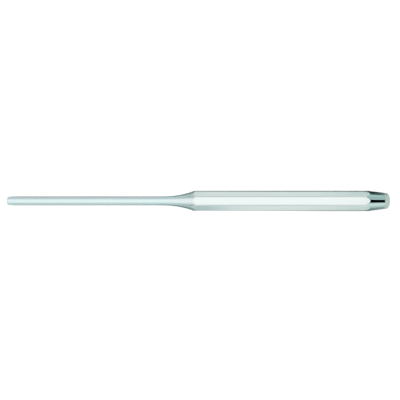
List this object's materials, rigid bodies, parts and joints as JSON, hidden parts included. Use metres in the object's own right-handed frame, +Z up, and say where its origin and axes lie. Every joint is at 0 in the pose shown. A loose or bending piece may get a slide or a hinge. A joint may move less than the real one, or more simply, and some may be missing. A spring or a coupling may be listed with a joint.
{
  "type": "pin punch",
  "caption": "Long pin punch with a parallel round pin flaring into an octagonal shank, and a tapered, crowned head that is struck to drive pins out.",
  "frame": {"origin": "under the middle of the tool's length, on the surface that one flat of the octagon lies on", "axes": "+X along the tool from its tip towards its struck head, +Z up from the surface that it lies on"},
  "size_m": [0.21, 0.011, 0.011],
  "materials": {
    "pin": "satin ground chrome",
    "shank": "satin chrome flats, polished taper and ground striking end"
  },
  "bodies": {
    "root": {"pin": "pin", "shank": "shank"}
  },
  "joints": []
}
